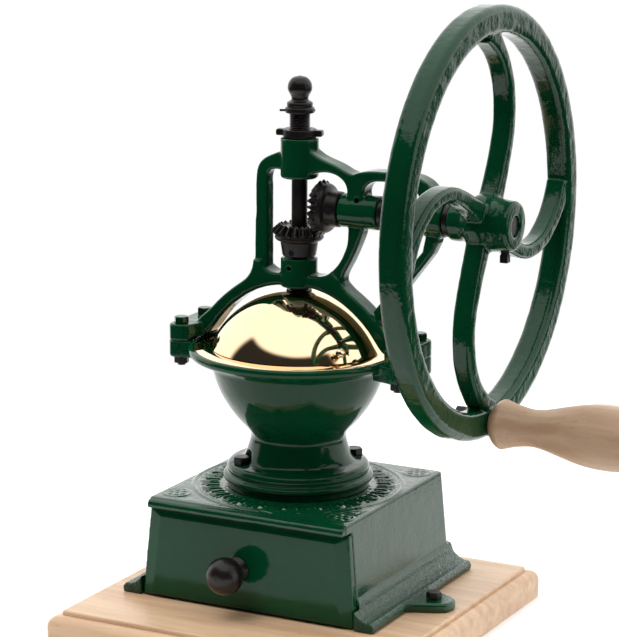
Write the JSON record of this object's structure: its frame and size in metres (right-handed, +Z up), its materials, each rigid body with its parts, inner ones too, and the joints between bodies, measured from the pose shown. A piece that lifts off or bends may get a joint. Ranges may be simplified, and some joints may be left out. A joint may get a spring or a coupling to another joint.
{
  "type": "poppy seed mill",
  "caption": "Hand-cranked cast poppy seed mill: flywheel crank, bevel gears, conical burrs, bowl with hinged dome lid, box base with drawer on a wooden board.",
  "frame": {"origin": "on the vertical spindle axis, in the plane of the wooden board's underside", "axes": "+Z up along the spindle; +X along the crank shaft towards the flywheel; -Y towards the drawer side, the front"},
  "size_m": [0.3375, 0.248, 0.3746],
  "materials": {
    "green_enamel": "glossy dark green enamel over sand-cast iron",
    "black_steel": "black-oxide turned and milled steel",
    "burr_iron": "bare ground iron",
    "brass": "mirror-polished pale brass sheet",
    "beech": "satin-lacquered beech",
    "tray_wood": "plain beech board, unlacquered",
    "black_knob": "glossy black moulded knob"
  },
  "bodies": {
    "stand": {"base_board": "beech", "base_housing": "green_enamel", "board_screws": "black_steel", "hopper_bowl": "green_enamel", "pedestal_bolts": "black_steel", "fixed_burr": "burr_iron", "bridge_frame": "green_enamel", "bridge_bolts": "black_steel", "bridge_nuts": "black_steel", "dome_cover": "brass"},
    "drawer": {"drawer_front": "green_enamel", "drawer_tray": "tray_wood", "tray_screws": "black_steel", "drawer_knob": "black_knob", "knob_screw": "black_steel"},
    "crank": {"crank_shaft": "black_steel", "flywheel": "green_enamel", "drive_bevel_gear": "black_steel", "drive_gear_pin": "black_steel", "inner_collar": "black_steel", "outer_collar": "black_steel", "collar_screws": "black_steel", "hub_set_screw": "black_steel", "handle_stud": "black_steel", "stud_nut": "black_steel", "handle_washer": "black_steel"},
    "handle": {"crank_handle": "beech"},
    "thrust": {"thrust_ball": "black_steel"},
    "spindle": {"spindle": "black_steel", "driven_bevel_gear": "black_steel", "driven_gear_pin": "black_steel", "runner_burr": "burr_iron", "burr_pin": "black_steel", "burr_nut": "black_steel"},
    "adjuster": {"adjusting_screw": "black_steel", "adjuster_pin": "black_steel"},
    "lock_nut": {"lock_nut": "black_steel"},
    "lid_door": {"dome_door": "brass", "door_knob": "brass"}
  },
  "joints": [
    {"name": "drawer_slide", "type": "slide", "parent": "stand", "child": "drawer", "axis": [0, -1, 0], "range_m": [0, 0.095]},
    {"name": "crank_spin", "type": "hinge", "parent": "stand", "child": "crank", "pos_m": [0, 0, 0.2506], "axis": [1, 0, 0], "continuous": true},
    {"name": "handle_spin", "type": "hinge", "parent": "crank", "child": "handle", "pos_m": [0.18, 0, 0.1349], "axis": [1, 0, 0], "continuous": true},
    {"name": "spindle_feed", "type": "slide", "parent": "stand", "child": "thrust", "axis": [0, 0, 1], "range_m": [-0.0005, 0]},
    {"name": "adjuster_turn", "type": "hinge", "parent": "thrust", "child": "adjuster", "pos_m": [0, 0, 0.28], "axis": [0, 0, 1], "range_deg": [-180, 0]},
    {"name": "spindle_spin", "type": "hinge", "parent": "thrust", "child": "spindle", "pos_m": [0, 0, 0.25], "axis": [0, 0, 1], "continuous": true},
    {"name": "lock_nut_turn", "type": "hinge", "parent": "stand", "child": "lock_nut", "pos_m": [0, 0, 0.2935], "axis": [0, 0, 1], "range_deg": [0, 90]},
    {"name": "door_turn", "type": "hinge", "parent": "stand", "child": "lid_door", "pos_m": [0, 0, 0.2], "axis": [0, 0, -1], "range_deg": [0, 110]}
  ],
  "couplings": [
    {"joint": "spindle_spin", "follows": "crank_spin", "ratio": 1},
    {"joint": "adjuster_turn", "follows": "spindle_feed", "rad_per_m": 6283.2}
  ]
}
